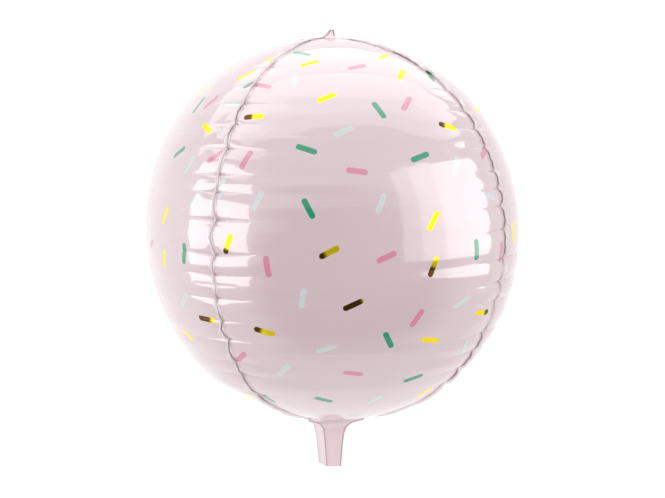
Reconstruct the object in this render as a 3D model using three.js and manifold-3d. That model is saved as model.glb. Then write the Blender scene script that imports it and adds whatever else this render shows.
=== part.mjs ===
// Four-panel foil ball balloon, blown up and lying on its back panel.
// Millimetres, +Z up. The balloon's axis runs along Y, with the apex towards +Y and the
// filling neck towards -Y. The origin is the centre of the small flat spot it rests on.
import * as THREE from 'three';
import { mergeVertices } from 'three/addons/utils/BufferGeometryUtils.js';
import Module from 'manifold-3d';

// Ball
const BALL_WIDTH = 381; // from the middle of one panel to the middle of the opposite one
const BALL_HEIGHT = 400; // from pole to pole, without the spike and the neck
const SEAM_STANDOUT = 13.5; // how much further out than a panel's middle a seam runs
const REST_LENGTH = 58; // length along the axis of the flat spot it lies on
const CROWN_DROP = 2.4; // how much lower the film lies round the spike than an even ball's
const LEFT_TUCK = 7; // how far the left panel is drawn up next to the neck

// Weld seams
const FLANGE_WIDTH = 3.5; // flat weld that stands out beyond the seam
const LIP_THICKNESS = 0.8; // one film layer of the weld, thickened from about 0.05
const WELD_GAP = 0.3; // between the two layers of a weld
const SEAM_WANDER = 0.45; // sideways wander of a seam between its pleats, in degrees

// Pleats along the seams
const PLEAT_DEPTH = 5; // how far the deepest pleat draws the seam in
const PLEAT_REACH = 26; // distance from the seam over which a pleat dies away
const PILLOW_RISE = 1.6; // how far the film puffs out between two pleats

// Spike at the apex
const SPIKE_HEIGHT = 8.4;
const SPIKE_FOOT_RADIUS = 12;
const SPIKE_LEAN = 5.6; // sideways shift of the spike's tip
const SPIKE_TIP_RADIUS = 1.6;
const TIP_FLANGE_WIDTH = 0.8;
const FLANGE_RUN_IN = 70; // distance from the apex or the neck to the flange's full width

// Filling neck, a lozenge-shaped sleeve of the four panels' tabs
const NECK_LENGTH = 55; // from the lower pole to the mouth
const NECK_LEAN = 3; // sideways shift of the neck
const NECK_BEND = 16; // height above the lower pole over which the neck shifts
const NECK_FLANGE_WIDTH = 2;
const NECK_WALL = 1.2; // thickened from about 0.05
const MOUTH_LONG_RADIUS = 13.2; // half the mouth's long diagonal
const MOUTH_SHORT_RADIUS = 8;
const ROOT_LONG_RADIUS = 19; // the same at the level of the lower pole, without the flare
const ROOT_SHORT_RADIUS = 12;
const FLARE_RADIUS = 22; // what the flare adds at the level of the lower pole
const FLARE_FADE = 5.5; // drop over which the flare falls to about a third
const SLEEVE_DEPTH = 36; // how far the open sleeve reaches in from the mouth

// Form of the curves
const BALL_POWER = 2.04; // 2 is an ellipse, more is fuller halfway to the poles
const LOZENGE_POWER = 1.2; // 1 is a straight-sided lozenge, 2 an ellipse
const FILLET_POWER = 5; // how tightly ball and neck run together
const SPIKE_POWER = 2;
const NECK_STEPS = 9;
const SPIKE_STEPS = 3;
const PANEL_COLUMNS = [0, 0.04, 0.1, 0.19, 0.33, 0.5, 0.67, 0.81, 0.9, 0.96, 1];
const TOP_LATITUDE = 82;
const BOTTOM_LATITUDE = -80;
const CUT_OVERRUN = 1; // how far a cutting tool runs past the face that it cuts

// Pleats as latitude in degrees and depth as a share of the deepest, from apex to neck
const LONG_PLEATS = [
  [72, 0.2], [60, 0.3], [51, 0.3], [44, 0.5], [37, 0.4], [29.5, 0.8], [22, 0.7], [17, 0.7], [9.5, 1],
  [0, 0.9], [-5.5, 0.8], [-12.3, 0.8], [-19, 0.5], [-25, 0.8], [-33, 0.5], [-38, 0.5], [-48, 0.4], [-62, 0.3],
];
const FINE_PLEATS = [
  [70, 0.2], [57, 0.3], [47, 0.3], [39, 0.4], [33, 0.5], [27, 0.5], [20, 0.5], [15, 0.5], [10, 0.6],
  [3.5, 0.6], [-5, 0.9], [-11.7, 0.8], [-17.5, 0.7], [-28, 0.9], [-34.6, 0.7], [-41.8, 0.7], [-49, 0.6], [-63, 0.3],
];

// Meridian of the ball: share of the widest radius at a share of the height, or the reverse
const meridian = (share) => Math.max(0, 1 - Math.abs(share) ** BALL_POWER) ** (1 / BALL_POWER);

const HALF_HEIGHT = BALL_HEIGHT / 2;
const POLE_HEIGHT = HALF_HEIGHT - CROWN_DROP;
const PANEL_RADIUS = BALL_WIDTH / 2;
const QUARTER = Math.PI / 2;
const REST_CUT = PANEL_RADIUS * (1 - meridian(REST_LENGTH / BALL_HEIGHT));
const AXIS_HEIGHT = PANEL_RADIUS - REST_CUT;

// The seams by their angle round the axis, from +Z towards +X
const SEAMS = {
  frontRight: { angle: QUARTER / 2, pleats: FINE_PLEATS },
  rightBack: { angle: (3 * QUARTER) / 2, pleats: LONG_PLEATS },
  backLeft: { angle: (5 * QUARTER) / 2, pleats: FINE_PLEATS },
  leftFront: { angle: (7 * QUARTER) / 2, pleats: LONG_PLEATS },
};

const clamp01 = (x) => Math.min(1, Math.max(0, x));
const smooth = (x) => clamp01(x) ** 2 * (3 - 2 * clamp01(x));
const mix = (a, b, share) => a + (b - a) * share;

// Direction across the axis at an angle, as x and z
const outward = (angle) => new THREE.Vector2(Math.sin(angle), Math.cos(angle));

// Radius of the widest circle of the ball: least at the panels' middles, most at the seams
function equatorRadius(angle) {
  return PANEL_RADIUS + (SEAM_STANDOUT * (1 - Math.cos(4 * angle))) / 2;
}

// Lozenge section of the neck, drop millimetres below the lower pole, made smaller by a wall
function neckRadius(angle, drop, wall = 0) {
  const rise = clamp01(1 - drop / NECK_LENGTH);
  const flare = FLARE_RADIUS * Math.exp(-Math.max(0, drop) / FLARE_FADE) - wall * Math.SQRT2;
  const long = mix(MOUTH_LONG_RADIUS, ROOT_LONG_RADIUS, rise) + flare;
  const short = mix(MOUTH_SHORT_RADIUS, ROOT_SHORT_RADIUS, rise) + flare;
  const along = Math.abs(Math.cos(angle - QUARTER / 2)) / long;
  const across = Math.abs(Math.sin(angle - QUARTER / 2)) / short;
  return (along ** LOZENGE_POWER + across ** LOZENGE_POWER) ** (-1 / LOZENGE_POWER);
}

// Ball and neck run together: the fuller of the two radii, rounded where they meet
function filletedRadius(angle, height) {
  const ball = equatorRadius(angle) * meridian(height / HALF_HEIGHT);
  const neck = height < 0 ? neckRadius(angle, -height - HALF_HEIGHT) : 0;
  return (ball ** FILLET_POWER + neck ** FILLET_POWER) ** (1 / FILLET_POWER);
}

// Sideways shift of the axis at a height: it bends one way up the spike, and the other way just
// above the neck
function lean(height) {
  const spike = SPIKE_LEAN * Math.sqrt(clamp01((height - POLE_HEIGHT) / SPIKE_HEIGHT));
  return spike - NECK_LEAN * smooth(1 - (height + HALF_HEIGHT) / NECK_BEND);
}

// How much higher the film lies than an even ball's, at a share of the half height: lower by
// the apex, and higher in the left panel by the neck
function uneven(angle, share) {
  const crown = CROWN_DROP * smooth((share - 0.7) / 0.3);
  const tuck = LEFT_TUCK * smooth((-share - 0.7) / 0.15) * smooth((1 + share) / 0.03);
  return tuck * Math.max(0, -Math.sin(angle)) ** 1.5 - crown;
}

// Rows from the apex to the mouth. A spike row has a share of the spike's foot, a ball row
// the number of its pleat or pillow, and a neck row its drop below the lower pole.
function buildRows() {
  const rows = [];
  for (let i = 0; i < SPIKE_STEPS; i += 1) {
    rows.push({ kind: 'spike', share: i / SPIKE_STEPS });
  }
  for (let fold = 0; fold <= 2 * LONG_PLEATS.length; fold += 1) {
    rows.push({ kind: 'ball', fold });
  }
  for (let i = 0; i <= NECK_STEPS; i += 1) {
    rows.push({ kind: 'neck', drop: NECK_LENGTH * (i / NECK_STEPS) ** 1.5 });
  }
  return rows;
}

// Odd folds are pleats, even folds the pillows between them
function pleatOf(seam, fold) {
  const before = seam.pleats[Math.floor((fold - 1) / 2)] ?? [TOP_LATITUDE, 0];
  const after = seam.pleats[Math.floor(fold / 2)] ?? [BOTTOM_LATITUDE, 0];
  if (fold % 2 === 1) {
    return { latitude: before[0], draw: before[1], puff: 0 };
  }
  if (fold === 0) {
    return { latitude: TOP_LATITUDE, draw: 0, puff: 0 };
  }
  if (fold === 2 * seam.pleats.length) {
    return { latitude: BOTTOM_LATITUDE, draw: 0, puff: 0 };
  }
  return { latitude: (before[0] + after[0]) / 2, draw: 0, puff: (before[1] + after[1]) / 2 };
}

// Radius and height of the smooth envelope in a row, share of the way from seam to seam
function envelopePoint(row, angle, share, left, right) {
  if (row.kind === 'spike') {
    const radius = mix(SPIKE_TIP_RADIUS, SPIKE_FOOT_RADIUS, row.share);
    const level = meridian(radius / equatorRadius(angle));
    const dome = HALF_HEIGHT * level + uneven(angle, level);
    return { radius, height: dome + SPIKE_HEIGHT * (1 - row.share) ** SPIKE_POWER, slope: QUARTER };
  }
  if (row.kind === 'neck') {
    const height = -HALF_HEIGHT - row.drop;
    return { radius: filletedRadius(angle, height), height, slope: 0 };
  }
  const latitude = mix(pleatOf(left, row.fold).latitude, pleatOf(right, row.fold).latitude, share);
  const slope = THREE.MathUtils.degToRad(latitude);
  const level = HALF_HEIGHT * Math.sin(slope);
  const height = level + uneven(angle, Math.sin(slope));
  return { radius: filletedRadius(angle, level), height, slope };
}

// How far the film is drawn in by pleats and puffed out between them
function foldDepth(row, radius, share, left, right) {
  if (row.kind !== 'ball') {
    return 0;
  }
  let depth = 0;
  for (const [seam, part] of [[left, share], [right, 1 - share]]) {
    const { draw, puff } = pleatOf(seam, row.fold);
    const way = (part * radius * QUARTER) / PLEAT_REACH;
    depth -= PLEAT_DEPTH * draw * Math.exp(-way);
    depth += PILLOW_RISE * puff * way * Math.exp(1 - way);
  }
  return depth;
}

// A seam swings to and fro with its folds
function seamSwing(seam, row) {
  if (row.kind !== 'ball') {
    return 0;
  }
  const { draw, puff } = pleatOf(seam, row.fold);
  const side = Math.sin(2.4 * row.fold + seam.angle);
  return THREE.MathUtils.degToRad(SEAM_WANDER) * side * (draw + puff);
}

// Flange width by distance from the axis: narrow at the spike and along the neck
function flangeWidth(point) {
  if (point.y < 0) {
    return mix(NECK_FLANGE_WIDTH, FLANGE_WIDTH, smooth((point.x - ROOT_LONG_RADIUS) / FLANGE_RUN_IN));
  }
  return mix(TIP_FLANGE_WIDTH, FLANGE_WIDTH, smooth(point.x / FLANGE_RUN_IN));
}

// Root and outer edge of a seam's flange, row by row, in the seam's own plane
function seamLine(rows, seam) {
  const roots = rows.map((row) => {
    const { radius, height } = envelopePoint(row, seam.angle, 0, seam, seam);
    return new THREE.Vector2(radius, height);
  });
  return rows.map((row, i) => {
    const run = roots[Math.min(i + 1, rows.length - 1)].clone().sub(roots[Math.max(i - 1, 0)]);
    const normal = new THREE.Vector2(-run.y, run.x).normalize();
    const depth = foldDepth(row, roots[i].x, 0, seam, seam);
    const root = roots[i].clone().addScaledVector(normal, depth);
    const tip = root.clone().addScaledVector(normal, flangeWidth(root));
    return { root, tip, swing: seamSwing(seam, row) };
  });
}

// A point at a radius and height in a seam's plane, moved off that plane by an offset
function seamPoint(seam, point, swing, offset, side) {
  const across = outward(seam.angle + swing).multiplyScalar(point.x);
  across.addScaledVector(outward(seam.angle + side * QUARTER), offset);
  return new THREE.Vector3(across.x + lean(point.y), point.y, across.y + AXIS_HEIGHT);
}

// One ring of a panel's solid: the axis, the left lip, the film from seam to seam, the right lip
function panelRing(row, index, left, right, leftLine, rightLine) {
  const inner = WELD_GAP / 2;
  const outer = inner + LIP_THICKNESS;
  const middle = left.angle + QUARTER / 2;
  const ring = [];
  const leftEdge = leftLine[index];
  const rightEdge = rightLine[index];
  const coreHeight = (leftEdge.root.y + rightEdge.root.y) / 2;
  const core = outward(middle).multiplyScalar(inner * Math.SQRT2);
  ring.push(new THREE.Vector3(core.x + lean(coreHeight), coreHeight, core.y + AXIS_HEIGHT));
  ring.push(seamPoint(left, leftEdge.tip, leftEdge.swing, inner, 1));
  ring.push(seamPoint(left, leftEdge.tip, leftEdge.swing, outer, 1));
  for (const share of PANEL_COLUMNS) {
    const swing = mix(leftEdge.swing, rightEdge.swing, share);
    const angle = left.angle + QUARTER * share;
    const { radius, height, slope } = envelopePoint(row, angle, share, left, right);
    const depth = foldDepth(row, radius, share, left, right);
    const point = new THREE.Vector2(radius + depth * Math.cos(slope), height + depth * Math.sin(slope));
    const across = outward(angle + swing).multiplyScalar(point.x);
    const reach = PANEL_COLUMNS[2];
    across.addScaledVector(outward(left.angle + QUARTER), outer * clamp01(1 - share / reach));
    across.addScaledVector(outward(right.angle - QUARTER), outer * clamp01(1 - (1 - share) / reach));
    ring.push(new THREE.Vector3(across.x + lean(point.y), point.y, across.y + AXIS_HEIGHT));
  }
  ring.push(seamPoint(right, rightEdge.tip, rightEdge.swing, outer, -1));
  ring.push(seamPoint(right, rightEdge.tip, rightEdge.swing, inner, -1));
  return ring;
}

// Closed solid through rings that run round the same way, capped by fans from their first point
function loft(rings) {
  const size = rings[0].length;
  const positions = rings.flat().flatMap((point) => point.toArray());
  const faces = [];
  for (let i = 0; i + 1 < rings.length; i += 1) {
    for (let j = 0; j < size; j += 1) {
      const next = (j + 1) % size;
      const [a, b] = [i * size + j, i * size + next];
      const [c, d] = [a + size, b + size];
      if (j === 0) {
        faces.push(a, c, b, c, d, b);
      } else {
        faces.push(a, c, d, a, d, b);
      }
    }
  }
  const last = (rings.length - 1) * size;
  for (let j = 1; j + 1 < size; j += 1) {
    faces.push(0, j, j + 1);
    faces.push(last, last + j + 1, last + j);
  }
  const geometry = new THREE.BufferGeometry();
  geometry.setAttribute('position', new THREE.Float32BufferAttribute(positions, 3));
  geometry.setIndex(faces);
  return geometry;
}

const wasm = await Module();
wasm.setup();

function toSolid(geometry) {
  const bare = geometry.clone();
  bare.deleteAttribute('normal');
  bare.deleteAttribute('uv');
  const merged = mergeVertices(bare, 1e-5);
  return new wasm.Manifold(new wasm.Mesh({
    numProp: 3,
    vertProperties: new Float32Array(merged.attributes.position.array),
    triVerts: new Uint32Array(merged.index.array),
  }));
}

function toGeometry(solid) {
  const mesh = solid.getMesh();
  const geometry = new THREE.BufferGeometry();
  geometry.setAttribute('position', new THREE.BufferAttribute(mesh.vertProperties, 3));
  geometry.setIndex(new THREE.BufferAttribute(mesh.triVerts, 1));
  geometry.computeVertexNormals();
  return geometry;
}

// The open inside of the sleeve, from past the mouth up to its closed end
function sleeveHollow() {
  const corners = 16;
  const rings = [];
  for (const depth of [SLEEVE_DEPTH, SLEEVE_DEPTH / 2, -CUT_OVERRUN]) {
    const drop = NECK_LENGTH - depth;
    const ring = [];
    for (let i = 0; i < corners; i += 1) {
      const angle = (i * 2 * Math.PI) / corners;
      const across = outward(angle).multiplyScalar(neckRadius(angle, drop, NECK_WALL));
      const height = -HALF_HEIGHT - drop;
      ring.push(new THREE.Vector3(across.x + lean(height), height, across.y + AXIS_HEIGHT));
    }
    rings.push(ring);
  }
  return toSolid(loft(rings));
}

// The block below the flat spot
function restBlock() {
  const depth = REST_CUT + CUT_OVERRUN;
  const box = new THREE.BoxGeometry(BALL_WIDTH, BALL_HEIGHT, depth);
  box.translate(0, 0, -depth / 2);
  return toSolid(box);
}

const rows = buildRows();
const hollow = sleeveHollow();

function panel(name, left, right) {
  const leftLine = seamLine(rows, left);
  const rightLine = seamLine(rows, right);
  const rings = rows.map((row, i) => panelRing(row, i, left, right, leftLine, rightLine));
  let solid = toSolid(loft(rings)).subtract(hollow);
  if (name === 'back_panel') {
    solid = solid.subtract(restBlock());
  }
  const foil = new THREE.MeshStandardMaterial({ color: 0xedd9dd, roughness: 0.2, metalness: 0.3 });
  foil.name = 'pink_foil';
  const mesh = new THREE.Mesh(toGeometry(solid), foil);
  mesh.name = name;
  return mesh;
}

const balloon = new THREE.Group();
balloon.name = 'foil_balloon';
balloon.add(panel('front_panel', SEAMS.leftFront, SEAMS.frontRight));
balloon.add(panel('right_panel', SEAMS.frontRight, SEAMS.rightBack));
balloon.add(panel('back_panel', SEAMS.rightBack, SEAMS.backLeft));
balloon.add(panel('left_panel', SEAMS.backLeft, SEAMS.leftFront));

export default balloon;
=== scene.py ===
"""Foil ball balloon: four pearl-pink film panels with pleated weld seams, a sprinkle print,
a small spike at the apex and an open filling neck, lying on its back panel on a pale floor.

Lengths are metres. The balloon's axis runs along Y, with the apex towards +Y."""

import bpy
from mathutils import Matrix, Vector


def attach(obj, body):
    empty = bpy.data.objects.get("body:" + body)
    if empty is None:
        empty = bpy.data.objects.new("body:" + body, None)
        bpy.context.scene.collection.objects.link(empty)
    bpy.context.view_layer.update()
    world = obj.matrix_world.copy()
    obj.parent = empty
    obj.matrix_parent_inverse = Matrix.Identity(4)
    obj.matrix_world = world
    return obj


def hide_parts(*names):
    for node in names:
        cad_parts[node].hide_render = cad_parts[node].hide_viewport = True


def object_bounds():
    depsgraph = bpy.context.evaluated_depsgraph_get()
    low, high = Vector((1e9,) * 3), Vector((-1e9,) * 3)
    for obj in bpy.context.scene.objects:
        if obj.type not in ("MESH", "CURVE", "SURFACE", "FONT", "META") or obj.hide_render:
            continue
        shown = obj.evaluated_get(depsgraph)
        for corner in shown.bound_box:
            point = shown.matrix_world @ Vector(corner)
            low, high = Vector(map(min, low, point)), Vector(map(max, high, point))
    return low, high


bl_info = {
    "name": "Foil Ball Balloon",
    "version": (1, 0, 0),
    "blender": (4, 5, 0),
    "location": "3D View > Sidebar > Balloon",
    "description": "Builds a foil ball balloon with pleated seams and a sprinkle print",
    "category": "Add Mesh",
}

from math import atan2, cos, pi, radians, sin, tau
from types import SimpleNamespace

import bpy
import numpy as np
from bpy.props import FloatProperty, FloatVectorProperty, PointerProperty
from mathutils import Matrix, Vector

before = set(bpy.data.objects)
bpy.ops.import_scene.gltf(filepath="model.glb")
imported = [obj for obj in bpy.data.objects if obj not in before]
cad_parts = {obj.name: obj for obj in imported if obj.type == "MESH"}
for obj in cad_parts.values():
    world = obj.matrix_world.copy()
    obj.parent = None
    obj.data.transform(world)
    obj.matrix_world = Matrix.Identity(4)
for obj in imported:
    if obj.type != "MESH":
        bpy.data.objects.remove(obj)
CAD_BOX = [list(corner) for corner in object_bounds()]
CAD_LOW, CAD_HIGH = (Vector(corner) for corner in CAD_BOX)

QUARTER = pi / 2
BALL_WIDTH = CAD_HIGH.x - CAD_LOW.x
AXIS_HEIGHT = CAD_HIGH.z - BALL_WIDTH / 2
TINY = 1e-9

# Pleats as latitude in degrees and depth as a share of the deepest, from apex to neck
LONG_PLEATS = [
    (72, 0.2), (60, 0.3), (51, 0.3), (44, 0.5), (37, 0.4), (29.5, 0.8),
    (22, 0.7), (17, 0.7), (9.5, 1), (0, 0.9), (-5.5, 0.8), (-12.3, 0.8),
    (-19, 0.5), (-25, 0.8), (-33, 0.5), (-38, 0.5), (-48, 0.4), (-62, 0.3),
]
FINE_PLEATS = [
    (70, 0.2), (57, 0.3), (47, 0.3), (39, 0.4), (33, 0.5), (27, 0.5),
    (20, 0.5), (15, 0.5), (10, 0.6), (3.5, 0.6), (-5, 0.9), (-11.7, 0.8),
    (-17.5, 0.7), (-28, 0.9), (-34.6, 0.7), (-41.8, 0.7), (-49, 0.6), (-63, 0.3),
]
# Small creases between the pleats, as latitude and share of the deepest
LONG_CREASES = [
    (66, 0.3), (56, 0.3), (47.2, 0.5), (41.5, 0.4), (35, 0.4), (33, 0.3), (28, 0.4), (24, 0.3),
    (19.6, 0.4), (8.2, 0.5), (7, 0.2), (5.6, 0.2), (-8.2, 0.5), (-9.7, 0.3), (-15, 0.2),
    (-22.6, 0.4), (-27, 0.4), (-35, 0.4), (-43, 0.3), (-54, 0.3),
]
FINE_CREASES = [
    (64, 0.3), (53, 0.3), (44, 0.4), (41.5, 0.3), (36, 0.4), (31, 0.3), (29, 0.4), (23.5, 0.5),
    (17.5, 0.4), (12.5, 0.4), (7, 0.5), (-1, 0.3), (-8, 0.4), (-14.5, 0.4), (-22, 0.3),
    (-25, 0.3), (-31, 0.3), (-38, 0.4), (-45, 0.3), (-56, 0.3),
]
# Painted shade in the crease along a seam's root: darkness of the line, as latitude and share
LONG_SHADE_LINES = [(-62, 0.2), (-55, 0.8), (-18, 0.8), (-14, 0.35), (31, 0.35), (34, 0.8), (42, 0.8),
              (46, 0.4), (70, 0.3), (80, 0.8)]
FINE_SHADE_LINES = [(-65, 0.3), (-50, 0.5), (-45, 0.9), (-28, 0.9), (-25, 0.35), (-6, 0.35), (-3, 0.9),
              (38, 0.9), (50, 0.5), (54, 1.0), (67, 1.0), (70, 0.4), (80, 0.8)]
TOP_LATITUDE = 82
BOTTOM_LATITUDE = -80
# Points across a panel's film, the step between those that its inside keeps, and steps over a
# flange's width
FILM_COLUMNS = 146
INNER_STEP = 12
FLANGE_STEPS = 4
# Lines pressed across the neck: drop below the lower pole, half width and strength
WELD_LINES = ((0.002, 0.0007, 1.0), (0.005, 0.0005, 0.6), (0.0128, 0.0008, 0.4))

# Upright soft boxes beside the ball: side in degrees from +Z towards +X, shifts across and up,
# width, height and share of the soft boxes' brightness
SIDE_BOXES = {
    "right_box": (58, 0.0, 0.16, 0.66, 0.92, 1.0),
    "right_edge": (58, -0.45, 0.2, 0.24, 1.0, 0.72),
    "right_rim": (58, -0.66, 0.22, 0.18, 1.05, 0.4),
    "left_box": (-80, 0.17, 0.11, 1.0, 0.78, 1.0),
}
# Soft boxes beyond the apex: place, target, width, height and share of the brightness
HEAD_BOXES = {
    "head_box": ((0, 0.9, 0.2), (0, 0, 0.2), 2.2, 0.38, 0.66),
    "head_edge": ((0, 0.9, 0.47), (0, 0, 0.47), 2.2, 0.16, 0.46),
    "head_rim": ((0, 0.9, 0.64), (0, 0, 0.64), 2.2, 0.18, 0.3),
    "head_low": ((0, 0.62, 0.01), (0, 0.62, 1), 1.2, 0.5, 0.45),
}

# Sprinkles on the side that faces the viewer, in millimetres right of and above the ball's
# middle as it is looked at, with the tilt from level in degrees. Some gold ones carry a painted
# dark reflection over a share of their length, from their left end, or with a minus sign from
# their right end
SPRINKLES = {
    "gold": [
        (-21, 174, 16), (58, 182, 25), (76, 162, 63), (-3, 137, 20), (-79, 117, 2, 0.45),
        (124, 107, -18, 0.35), (109, 8, 62), (-106, -16, 70, 0.3), (0, -25, 27, 0.3),
        (109, -40, 68, 0.5), (25, -80, 24, 0.95), (160, -88, 8, -0.3), (-68, -108, -16, 0.35),
        (106, -117, -3), (100, -172, 32), (-57, 179, 5), (-88, 161, 28), (-132, 144, 45),
        (-128, 105, -50), (-172, 14, 72), (-173, -32, 88), (-129, -95, -12, 0.75),
        (-149, -111, -42), (-83, -179, -40), (154, 125, 60), (193, -4, 87),
    ],
    "mint": [
        (-29, 185, -12), (106, 160, -62), (52, 124, -53), (-24, 83, -18), (95, 75, 22),
        (-22, 21, -62), (154, -22, 91), (62, -117, -65), (88, -157, 19), (-64, -180, -35),
        (-6, -180, -12), (-81, 153, 30), (-137, 129, 52), (-157, 80, 40), (-152, -26, 90),
    ],
    "rose": [
        (29, 170, 13), (-70, 150, -15), (81, 131, 60), (-87, 72, 60), (162, 80, 65),
        (29, 60, -8), (60, -30, 26), (180, -25, 90), (-65, -40, -80), (92, -94, 56),
        (-93, -135, 42), (25, -152, -5), (-124, 132, 40), (-119, 76, 38), (-186, -16, 60),
    ],
    "mist": [
        (-36, 156, 80), (15, 102, 25), (132, 66, 82), (54, 26, 70), (-75, 29, 63),
        (-113, 42, 75), (167, 34, -18), (-28, -73, 80), (139, -77, 35), (-3, -126, 18),
        (142, -125, 75), (-48, -149, 45), (48, -180, 30), (-101, 131, 0), (-146, 67, 60),
        (-139, 33, 60), (-152, -75, 70),
    ],
}


def metres(name, default, description):
    """A length to be set"""
    return FloatProperty(name=name, description=description, default=default, unit="LENGTH")


def degrees(name, default, description):
    """An angle to be set, with its default in degrees"""
    return FloatProperty(
        name=name, description=description, default=radians(default), unit="ROTATION")


def fraction(name, default, description):
    """A share of the whole to be set"""
    return FloatProperty(name=name, description=description, default=default, subtype="FACTOR")


def tint(name, default, description):
    """A colour to be set"""
    return FloatVectorProperty(
        name=name, description=description, default=default, subtype="COLOR", size=3)


class BalloonSizes(bpy.types.PropertyGroup):
    """Sizes of the ball, its seams, its spike and its neck"""

    ball_width: metres("Ball width", BALL_WIDTH, "Between two opposite panels' middles")
    ball_height: metres("Ball height", 0.400, "From pole to pole")
    crown_drop: metres(
        "Crown drop", 0.0024, "How much lower than an even ball the film lies round the spike")
    left_tuck: metres("Left tuck", 0.007, "How far the left panel is drawn up next to the neck")
    seam_standout: metres(
        "Seam stand-out", 0.0135, "How much further out than a panel's middle a seam runs")
    flange_width: metres("Flange width", 0.0035, "Flat weld that stands out beyond the seam")
    film: metres("Film", 0.0003, "Thickness of one layer in a weld and in the neck")
    weld_gap: metres("Weld gap", 0.0002, "Between the two layers of a weld")
    wander: degrees("Seam wander", 0.7, "Sideways swing of a seam from fold to fold")
    pleat_depth: metres("Pleat depth", 0.005, "How far the deepest pleat draws the seam in")
    pleat_reach: metres("Pleat reach", 0.040, "Distance from the seam over which a pleat runs out")
    groove_depth: metres("Groove depth", 0.0018, "Depth of the sharp crease in the deepest pleat")
    groove_width: metres("Groove width", 0.0015, "Half the width of a crease where it is widest")
    pillow_rise: metres("Pillow rise", 0.0010, "How far the film puffs out between two pleats")
    pucker: metres("Pucker", 0.00025, "Depth of the fine puckers next to a weld")
    spike_height: metres("Spike height", 0.0084, "Height of the spike over the film round it")
    spike_foot: metres("Spike foot", 0.012, "Radius at which the spike begins to rise")
    spike_lean: metres("Spike lean", 0.0056, "Sideways shift of the spike's tip")
    spike_tip: metres("Spike tip", 0.0016, "Radius of the spike's tip")
    tip_flange: metres("Tip flange", 0.0008, "Flange width at the spike")
    flange_run_in: metres(
        "Flange run-in", 0.070, "Distance from the axis over which a flange widens")
    neck_length: metres("Neck length", -CAD_LOW.y - 0.200, "From the lower pole to the mouth")
    neck_lean: metres("Neck lean", 0.003, "Sideways shift of the neck")
    neck_bend: metres("Neck bend", 0.016, "Height above the lower pole over which the neck shifts")
    neck_flange: metres("Neck flange", 0.002, "Flange width along the neck")
    mouth_long: metres("Mouth long radius", 0.0132, "Half the mouth's long diagonal")
    mouth_short: metres("Mouth short radius", 0.008, "Half the mouth's short diagonal")
    root_long: metres("Root long radius", 0.019, "Half the long diagonal at the lower pole")
    root_short: metres("Root short radius", 0.012, "Half the short diagonal at the lower pole")
    flare: metres("Flare", 0.022, "What the neck's flare adds at the lower pole")
    flare_fade: metres("Flare fade", 0.0055, "Drop over which the flare falls to about a third")


class BalloonLooks(bpy.types.PropertyGroup):
    """Colours and finishes of the film and its print"""

    film: tint("Film", (0.72, 0.566, 0.60), "Pearl pink of the film")
    metal: fraction("Film metal", 0.05, "How much of the foil shines through the pearl lacquer")
    roughness: fraction("Film roughness", 0.45, "Roughness of the pearl lacquer")
    # Painted reflection: the flanges' pale colour and the lens where the weld is mirrored in the film
    # stand in for the bright room that they reflect
    pale: tint("Pale", (1.0, 0.95, 0.96), "Tone of the flanges and of their mirror image in the film")
    # Painted shade: the dark line along a seam's root stands in for the shade in the crease between
    # flange and film
    shadow: tint("Shadow", (0.05, 0.012, 0.02), "Tone of the dark line along a seam's root")
    weld: tint("Weld", (0.50, 0.34, 0.27), "Tan tint of the pressed weld lines across the neck")
    gold: tint("Gold", (1.0, 0.80, 0.008), "Clear yellow lacquer over bare foil")
    # Painted dark reflection: gold is darkened from one end where it would mirror the dark ceiling
    gold_dark_reflection: tint("Dusk", (0.09, 0.045, 0.001), "Gold where it mirrors the dark")
    gold_metal: fraction("Gold metal", 0.6, "How much the gold print mirrors the room")
    mint: tint("Mint", (0.001, 0.30, 0.15), "Green sprinkles")
    rose: tint("Rose", (0.70, 0.255, 0.375), "Pink sprinkles")
    mist: tint("Mist", (0.65, 0.69, 0.70), "Pale blue-grey sprinkles")
    sprinkle_length: metres("Sprinkle length", 0.0205, "From end to end")
    sprinkle_width: metres("Sprinkle width", 0.0056, "Across, with round ends")


class BalloonStage(bpy.types.PropertyGroup):
    """Camera and light"""

    distance: metres("Camera distance", 1.524, "From the ball's middle")
    rise: degrees("Camera rise", 7.6, "Turn of the camera from the panel's middle to the apex")
    turn: degrees("Camera turn", 12.3, "Turn of the camera to the left of the front panel's middle")
    roll: degrees("Camera roll", 0.89, "Tilt of the camera about its line of sight")
    lens: FloatProperty(
        name="Lens", description="Focal length", default=78.7, unit="CAMERA")
    aim_drop: metres("Aim drop", 0.0214, "How far below the ball's middle the camera aims")
    aim_right: metres("Aim right", 0.0033, "How far right of the ball's middle the camera aims")
    floor: tint("Floor", (0.92, 0.92, 0.92), "Colour of the floor")
    floor_glow: FloatProperty(
        name="Floor glow", description="Light that the white floor gives off by itself",
        default=0.40)
    fill: FloatProperty(
        name="Fill light", description="Brightness of the broad light over the camera",
        default=1.28)
    soft_box: FloatProperty(
        name="Soft boxes", description="Brightness of the soft boxes' reflections", default=2.5)
    room: FloatProperty(
        name="Room", description="Brightness of the white room round the floor", default=0.90)
    neck_glow: FloatProperty(
        name="Neck light", description="Power of the narrow spot on the neck",
        default=32.0, unit="POWER")
    dark_side: FloatProperty(
        name="Dark ceiling", description="Brightness of the dark ceiling", default=0.08)
    dark_towards: FloatVectorProperty(
        name="Dark towards", description="Direction of the dark ceiling's middle",
        subtype="DIRECTION", size=3, default=(0.02, -0.35, 0.93))


def registered(cls):
    """The settings of the open scene that belong to a property group"""
    return getattr(bpy.context.scene, cls.__name__)


# Curves of the form


def mix(start, end, share):
    """Straight blend: start at 0, end at 1"""
    return start + (end - start) * share


def smooth(value):
    """Smooth step from 0 to 1: 3 x squared less 2 x cubed, held between 0 and 1"""
    held = np.clip(value, 0, 1)
    return held**2 * (3 - 2 * held)


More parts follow.
